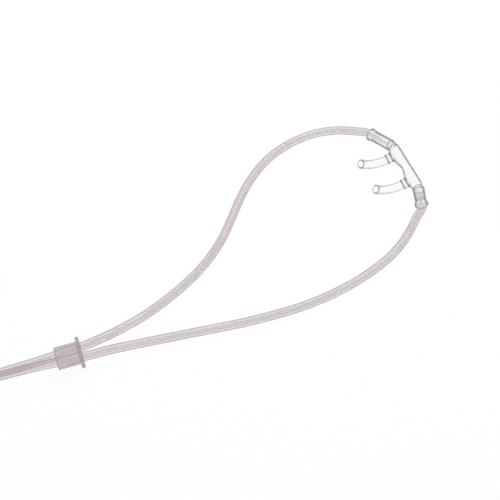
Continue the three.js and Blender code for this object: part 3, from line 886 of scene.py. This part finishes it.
def swept(name, line, radii, sides=PRONG_SIDES):
    across = (rolled.to_3x3() @ Vector((1, 0, 0))).normalized()
    rings = []
    for i, middle in enumerate(line):
        forward = (line[min(i + 1, len(line) - 1)] - line[max(i - 1, 0)]).normalized()
        upward = across.cross(forward).normalized()
        ring = []
        for j in range(sides):
            angle = 2 * math.pi * j / sides
            ring.append(middle + (across * math.cos(angle) + upward * math.sin(angle)) * radii[i] * MM)
        rings.append(ring)
    return ring_mesh(name, rings)


def lip_radius(from_tip):
    """The prong's radius near its tip, which is a rounded lip a little thicker than the prong."""
    plain, lip = PRONG_DIAMETER / 2, PRONG_DIAMETER / 2 + LIP_SWELL
    if from_tip < LIP_ROUNDING:
        share = 1 - from_tip / LIP_ROUNDING
        return lip - LIP_ROUNDING * (1 - math.sqrt(max(0.0, 1 - share * share)))
    ease = min(1.0, max(0.0, (from_tip - LIP_LENGTH) / LIP_LENGTH))
    return lip + (plain - lip) * ease * ease * (3 - 2 * ease)


def prong(side):
    line = even_line(prong_line(side, COLLAR_SET), PRONG_STEP)
    before, tip = line[-2:]
    line[-1:] = [before.lerp(tip, share) for share in LIP_PLACES]
    left = [line_length(line[i:]) / MM for i in range(len(line))]
    made = coated(swept("prong_" + side, line, [lip_radius(rest) for rest in left]), NASAL_VINYL)
    # The lip's rows get the painted shade of the edge finish.
    return edged(made, EDGE_SHADE_VINYL, PRONG_SIDES, (len(line) - len(LIP_PLACES), len(line)))


def prong_bore(side):
    line = even_line(prong_line(side, 0, tip_extra=1.0), PRONG_STEP)
    return coated(swept("prong_bore_" + side, line, [PRONG_BORE / 2] * len(line)), BORE_VINYL)


# %% Collars and sockets
def collar(side):
    x = SIDE_SIGN[side] * PRONG_SPACING / 2
    radius, edge = COLLAR_DIAMETER / 2, COLLAR_ROUNDING
    groove = radius - COLLAR_GROOVE
    profile = [(groove, 0)]
    for start in COLLAR_FLANGES:
        stop = start + COLLAR_FLANGE_WIDTH
        profile += [(groove, start), (radius - edge, start), (radius, start + edge)]
        profile += [(radius, stop - edge), (radius - edge, stop), (groove, stop)]
    direction = rolled.to_3x3() @ Vector((0, -1, 0))
    made = turned("collar_" + side, profile, rolled @ (Vector((x, -COLLAR_SET, 0)) * MM), direction, TURNED_SIDES)
    flange_rows = [(1 + 6 * i, 6 + 6 * i) for i in range(len(COLLAR_FLANGES))]
    # The flanges' rows get the painted shade of the edge finish.
    return edged(coated(made, NASAL_VINYL), EDGE_SHADE_VINYL, TURNED_SIDES, *flange_rows)


def socket(side):
    length = SOCKET_LENGTH[side] / MM
    wall, rim = SOCKET_DIAMETER / 2, RIM_DIAMETER / 2
    profile = [(wall * 0.35, -wall / 2), (wall * 0.7, -wall / 3), (wall, wall / 4)]
    profile += [(wall, length * 0.5), (wall, length - RIM_LENGTH - RIM_SLOPE), (rim, length - RIM_LENGTH)]
    profile += [(rim, length - RIM_ROUNDING), (rim - RIM_ROUNDING, length)]
    made = turned("socket_" + side, profile, socket_start(side), SOCKET_DIRECTION[side], TURNED_SIDES)
    return coated(made, STRAP_VINYL)


def seam(side):
    """The raised line that the mould leaves where a socket meets the strap."""
    wall, (crest, foot) = SOCKET_DIAMETER / 2, SEAM_HALF_WIDTHS
    profile = [(wall - SEAM_ROOT, SEAM_PLACE - foot), (wall + SEAM_RISE, SEAM_PLACE - crest)]
    profile += [(wall + SEAM_RISE, SEAM_PLACE + crest), (wall - SEAM_ROOT, SEAM_PLACE + foot)]
    made = turned("seam_" + side, profile, socket_start(side), SOCKET_DIRECTION[side], TURNED_SIDES, closed=True)
    # The seam gets the painted shade of the edge finish.
    return coated(made, EDGE_SHADE_VINYL)


def rod_between(name, start, stop, diameter, sides=PRONG_SIDES):
    span = (stop - start).length / MM
    return turned(name, [(diameter / 2, 0), (diameter / 2, span)], start, stop - start, sides)


# %% The nasal piece, joined and hollowed
DUCT_WALL = 0.85
DUCT_END_WALL = 1.6


def nasal_piece():
    piece = coated(strap_form("nasal_moulding", 0.0, 0.0), STRAP_VINYL)
    outer = [make(side) for side in SIDE_SIGN for make in (collar, prong, socket, seam)]
    combine(piece, outer, "UNION")
    # The duct's walls take the near white painted highlight finish.
    hollows = [coated(strap_form("duct", DUCT_WALL, DUCT_END_WALL), STRAP_HIGHLIGHT_VINYL)]
    for side in SIDE_SIGN:
        forward = SOCKET_DIRECTION[side]
        floor = socket_floor(side)
        seat = rod_between("tube_seat_" + side, floor, socket_mouth(side) + forward * MM, SOCKET_BORE)
        way = rod_between("air_way_" + side, socket_start(side), floor + forward * MM / 2, AIR_CHANNEL)
        hollows += [prong_bore(side), coated(seat, BORE_VINYL), coated(way, BORE_VINYL)]
    hollow = combine(hollows[0], hollows[1:], "UNION")
    return combine(piece, [hollow], "DIFFERENCE")


dressed(nasal_piece(), "root", "nasal_vinyl", "nasal_piece")


# %% [markdown]
# The slider is a short turned sleeve with a flange on the loop's side. Its bore is a plain round hole, just wide enough
# for the two tubes. Its outline is turned round the pair's line, and the rows at its flange's rim and at the barrel's
# end get a darker finish, painted shade for the dark lines that these edges show. It rides on its own body, because it
# slides along the pair.

# %% Slider
FLANGE_DIAMETER = 13.4
FLANGE_THICKNESS = 1.5
BARREL_DIAMETER = 9.7
BARREL_LENGTH = 9.4
SLIDER_BORE = 8.6
FLANGE_ROUNDING = 0.45
FLANGE_FILLET = 0.6
BARREL_ROUNDING = 0.35
SLIDER_SIDES = 64
SLIDER_EDGE_ROWS = ((2, 12), (19, 24))


def slider():
    bore, flange, barrel = SLIDER_BORE / 2, FLANGE_DIAMETER / 2, BARREL_DIAMETER / 2
    total = FLANGE_THICKNESS + BARREL_LENGTH
    profile = [(bore + 0.15, 0.0), (flange - 0.5, 0.0)]
    rim = flange - FLANGE_ROUNDING
    profile += rounded_corner(rim, 0.0, flange, FLANGE_ROUNDING, 0)
    profile += rounded_corner(flange, FLANGE_THICKNESS - FLANGE_ROUNDING, rim, FLANGE_THICKNESS, 1)
    profile += rounded_corner(barrel + FLANGE_FILLET, FLANGE_THICKNESS, barrel, FLANGE_THICKNESS + FLANGE_FILLET, 0)
    profile += [(barrel, total * 0.5), (barrel, total - 0.5)]
    profile += rounded_corner(barrel, total - BARREL_ROUNDING, bore + 0.2, total, 1)
    profile += [(bore, total - 0.3), (bore, total * 0.66), (bore, total * 0.33), (bore, 0.2)]
    return turned("slider_sleeve", profile, PAIR_START, heading(PAIR_HEADING), SLIDER_SIDES, closed=True)


# The flange rim and barrel end rows get the slider's painted shade finish.
slider_sleeve = edged(coated(slider(), SLIDER_VINYL), SLIDER_EDGE_SHADE, SLIDER_SIDES, *SLIDER_EDGE_ROWS)
dressed(slider_sleeve, "slider", "slider_vinyl", "slider")


# %% [markdown]
# The Y connector has a wide end with two bores and a neck with one. Its outline is drawn once as half widths along
# its length, and each section is a rounded oblong of that width, so the piece is lofted like the strap.

# %% Y connector
Y_HEIGHT = 7.4
Y_HALF_WIDTH = 5.7
Y_NECK_HALF_WIDTH = 3.4
Y_TUBE_DEPTH = 5.8
Y_EDGE = 0.5
Y_SIDES = 48
Y_STEPS = 25
Y_STEP = 0.9
Y_SQUARENESS = 4.0
Y_NECK_SQUARENESS = 2.6
Y_OUTLET_BORE = 5.4
Y_INLET_BORE = 4.4
Y_AIR_CHANNEL = 2.6


def y_half_width(along):
    share = min(1.0, max(0.0, (along + 1) / (Y_LENGTH / 4 + 1)))
    ease = share * share * (3 - 2 * share)
    return Y_HALF_WIDTH + (Y_NECK_HALF_WIDTH - Y_HALF_WIDTH) * ease


def y_section(along, inset):
    wide, tall = y_half_width(along) - inset, Y_HEIGHT / 2 - inset
    ring = []
    power = 2 / (Y_SQUARENESS if wide > tall else Y_NECK_SQUARENESS)
    for j in range(Y_SIDES):
        angle = 2 * math.pi * j / Y_SIDES
        across = math.copysign(abs(math.cos(angle)) ** power, math.cos(angle)) * wide
        upward = math.copysign(abs(math.sin(angle)) ** power, math.sin(angle)) * tall
        ring.append(y_point(along, across, Y_MIDDLE_HEIGHT + upward))
    return ring


def y_connector():
    half = Y_LENGTH / 2
    places = [(-half, Y_EDGE), (-half + 0.15, 0.2), (-half + Y_EDGE, 0.0)]
    places += [(-half + 1 + i * Y_STEP, 0.0) for i in range(Y_STEPS)]
    places += [(half - Y_EDGE, 0.0), (half - 0.15, 0.2), (half, Y_EDGE)]
    block = coated(ring_mesh("y_moulding", [y_section(*place) for place in places]), CONNECTOR_VINYL)
    hollows = [rod_between("outlet", y_point(half - Y_TUBE_DEPTH, 0), y_point(half + 1, 0), Y_OUTLET_BORE)]
    for out in (-Y_BORE_SPACING / 2, Y_BORE_SPACING / 2):
        seat = y_point(-half + Y_TUBE_DEPTH, out)
        hollows.append(rod_between("seat", y_point(-half - 1, out), seat, Y_INLET_BORE))
        inner = y_point(-half + Y_TUBE_DEPTH - 0.5, out)
        hollows.append(rod_between("way", inner, y_point(half - Y_TUBE_DEPTH + 1, out / 3), Y_AIR_CHANNEL))
    hollow = combine(hollows[0], hollows[1:], "UNION")
    return combine(block, [coated(hollow, BORE_VINYL)], "DIFFERENCE")


dressed(y_connector(), "root", "connector_vinyl", "y_connector")


# %% [markdown]
# The funnel pushes on to the oxygen outlet. It is soft and milky, with a neck for the tube, a flare and a grip of low
# ribs round its body. The body is turned from an outline of radii and places along it, listed in order: up the outside
# from the neck, round the mouth, and back through the bowl, the air way and the tube's seat. Geometry Nodes set the
# ribs round it.

# %% Funnel body
FUNNEL_LENGTH = 45.0
FUNNEL_RADIUS = 5.5
FUNNEL_GRIP_RADIUS = 5.0
RIB_COUNT = 24
RIB_START = 27.0
RIB_END = 39.5
FUNNEL_SIDES = 64


def funnel():
    neck, total, bowl = 3.7, FUNNEL_LENGTH, 25.0
    profile = [(2.7, 0.2), (2.9, 0.0), (neck - 0.4, 0.0), (neck - 0.1, 0.15), (neck, 0.5), (neck, 11.5)]
    profile += [(neck + 0.15, 13.0), (neck + 0.45, 16.0), (4.6, bowl - 1.5), (FUNNEL_GRIP_RADIUS, bowl + 0.5)]
    profile += [(FUNNEL_GRIP_RADIUS, total - 4.6), (FUNNEL_RADIUS - 0.1, total - 3.9), (FUNNEL_RADIUS, total - 3.5)]
    profile += [(FUNNEL_RADIUS, total - 0.4), (FUNNEL_RADIUS - 0.15, total - 0.1), (FUNNEL_RADIUS - 0.4, total)]
    profile += [(4.4, total), (4.2, total - 0.3), (3.4, bowl), (1.6, bowl - 1.5), (1.6, 12.0), (2.7, 12.0)]
    return turned("funnel", profile, END_INLET * MM, Vector((-1, 0, 0)), FUNNEL_SIDES, closed=True)


# %% Funnel ribs
def grip_rib_tree():
    tree, inlet, outlet = tree_with_sockets("grip_ribs", [
        ("Count", "NodeSocketInt", 24),
        ("Ring Radius", "NodeSocketFloat", 0.005),
        ("Rib Radius", "NodeSocketFloat", 0.0004),
        ("Rib Length", "NodeSocketFloat", 0.0125),
        ("Place", "NodeSocketVector", None),
        ("Material", "NodeSocketMaterial", None),
    ])
    nodes = tree.nodes
    ring = nodes.new("GeometryNodeCurvePrimitiveCircle")
    points = nodes.new("GeometryNodeCurveToPoints")
    rib = nodes.new("GeometryNodeMeshCylinder")
    rib.inputs["Vertices"].default_value = 10
    on_points = nodes.new("GeometryNodeInstanceOnPoints")
    stand = nodes.new("GeometryNodeTransform")
    stand.inputs["Rotation"].default_value = (0, math.radians(90), 0)
    smooth = nodes.new("GeometryNodeSetShadeSmooth")
    realize = nodes.new("GeometryNodeRealizeInstances")
    finish = nodes.new("GeometryNodeSetMaterial")
    link_nodes(
        tree,
        (inlet.outputs["Ring Radius"], ring.inputs["Radius"]),
        (ring.outputs["Curve"], points.inputs["Curve"]),
        (inlet.outputs["Count"], points.inputs["Count"]),
        (inlet.outputs["Rib Radius"], rib.inputs["Radius"]),
        (inlet.outputs["Rib Length"], rib.inputs["Depth"]),
        (points.outputs["Points"], on_points.inputs["Points"]),
        (rib.outputs["Mesh"], on_points.inputs["Instance"]),
        (on_points.outputs["Instances"], stand.inputs["Geometry"]),
        (inlet.outputs["Place"], stand.inputs["Translation"]),
        (stand.outputs["Geometry"], realize.inputs["Geometry"]),
        (realize.outputs["Geometry"], smooth.inputs["Geometry"]),
        (smooth.outputs["Geometry"], finish.inputs["Geometry"]),
        (inlet.outputs["Material"], finish.inputs["Material"]),
        (finish.outputs["Geometry"], outlet.inputs["Geometry"]),
    )
    return tree


rib_middle = END_INLET * MM - Vector(((RIB_START + RIB_END) / 2 * MM, 0, 0))
rib_guide = new_object("rib_guide", bpy.data.meshes.new("rib_guide"))
grip_ribs = tree_mesh("funnel_ribs", rib_guide, grip_rib_tree(), {
    "Count": RIB_COUNT,
    "Ring Radius": FUNNEL_GRIP_RADIUS * MM,
    "Rib Length": (RIB_END - RIB_START) * MM,
    "Place": rib_middle,
    "Material": FUNNEL_VINYL,
})
funnel_body = combine(coated(funnel(), FUNNEL_VINYL), [grip_ribs], "UNION")
funnel_body = dressed(funnel_body, "root", "funnel_vinyl", "end_connector")


# %% [markdown]
# The tie is one flat band round the coil's section. Its inner and outer outlines are rounded oblongs, joined ring by
# ring, and a Bevel modifier takes the sharpness off its edges.

# %% Tie
TIE_WIDTH = 4.0
TIE_THICKNESS = 0.6
TIE_SLACK = 0.3
TIE_TOP_SLACK = 0.9
TIE_INNER = (COIL_INNER_RADIUS - TIE_SLACK, COIL_OUTER_RADIUS + TIE_SLACK)
TIE_INSIDE_HEIGHT = (TIE_THICKNESS, COIL_HEIGHT + TIE_TOP_SLACK)
TIE_CORNER = 1.6
TIE_EDGE = 0.12


def rounded_oblong(low, high, bottom, top, corner, steps=6):
    middles = [(high - corner, bottom + corner, -90), (high - corner, top - corner, 0)]
    middles += [(low + corner, top - corner, 90), (low + corner, bottom + corner, 180)]
    outline = []
    for across, upward, first in middles:
        for i in range(steps + 1):
            turn = math.radians(first + 90 * i / steps)
            outline.append((across + corner * math.cos(turn), upward + corner * math.sin(turn)))
    return outline


def tie_band():
    t = TIE_THICKNESS
    inside = rounded_oblong(*TIE_INNER, *TIE_INSIDE_HEIGHT, TIE_CORNER)
    outside = rounded_oblong(TIE_INNER[0] - t, TIE_INNER[1] + t, 0.0, TIE_INSIDE_HEIGHT[1] + t, TIE_CORNER + t)
    side = heading(TIE_ANGLE + 90) * TIE_WIDTH / 2 * MM
    rings = []
    for near, far in zip(inside, outside):
        near_point, far_point = (around_coil(TIE_ANGLE, p[0], p[1]) for p in (near, far))
        rings.append([near_point - side, far_point - side, far_point + side, near_point + side])
    band = ring_mesh("tie_band", rings, closed=True)
    bevel = band.modifiers.new("edge", "BEVEL")
    bevel.width = TIE_EDGE * MM
    bevel.segments = 2
    return finished(band)


tie = dressed(coated(tie_band(), TIE_PLASTIC), "root", "tie", "coil_tie")


# %% [markdown]
# Each free tube rides on the root body in place of the imported tube parts, which are hidden. The loop's tubes end in
# the Y connector, and the supply tube ends in the funnel.

# %% Cords
for side, piece in loop_tubes.items():
    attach(piece, "root")
    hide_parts("tube_" + side)
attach(supply_tube, "root")
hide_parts("supply_lead", "supply_coil", "supply_tail")


# %% [markdown]
# A clear object is only as good as what shines through it. The table is a bright white sheet, a plain white sky fills
# the shadows, and two soft lamps put a long thin glint on the tubes.

# %% Table
FLOOR_HEIGHT = -0.15 * MM
FLOOR_SIZE = 6.0


def white_table():
    material = bpy.data.materials.new("white_table")
    material.use_nodes = True
    shader = material.node_tree.nodes["Principled BSDF"]
    shader.inputs["Base Color"].default_value = (0.93, 0.93, 0.93, 1)
    shader.inputs["Roughness"].default_value = 0.9
    shader.inputs["Specular IOR Level"].default_value = 0.0
    half = FLOOR_SIZE / 2
    data = bpy.data.meshes.new("table")
    corners = [(-half, -half), (half, -half), (half, half), (-half, half)]
    data.from_pydata([(x, y, FLOOR_HEIGHT) for x, y in corners], [], [(0, 1, 2, 3)])
    data.materials.append(material)
    return new_object("table", data)


white_table()


# %% Light
LIGHT_AIM = (0, -0.12, 0)
SKY_STRENGTH = 0.88


def soft_lamp(name, place, aim, size, power):
    data = bpy.data.lights.new(name, "AREA")
    data.size = size
    data.energy = power
    lamp = new_object(name, data)
    lamp.location = place
    lamp.rotation_mode = "QUATERNION"
    lamp.rotation_quaternion = (Vector(aim) - Vector(place)).to_track_quat("-Z", "Y")


soft_lamp("window_lamp", place=(-0.6, 0.4, 1.1), aim=LIGHT_AIM, size=0.16, power=3.2)
soft_lamp("fill_lamp", place=(0.9, -0.9, 1.0), aim=LIGHT_AIM, size=0.3, power=2.0)
world = bpy.data.worlds.new("white_sky")
world.use_nodes = True
world.node_tree.nodes["Background"].inputs["Color"].default_value = (1, 1, 1, 1)
world.node_tree.nodes["Background"].inputs["Strength"].default_value = SKY_STRENGTH
bpy.context.scene.world = world
bpy.context.scene.view_settings.view_transform = "Standard"
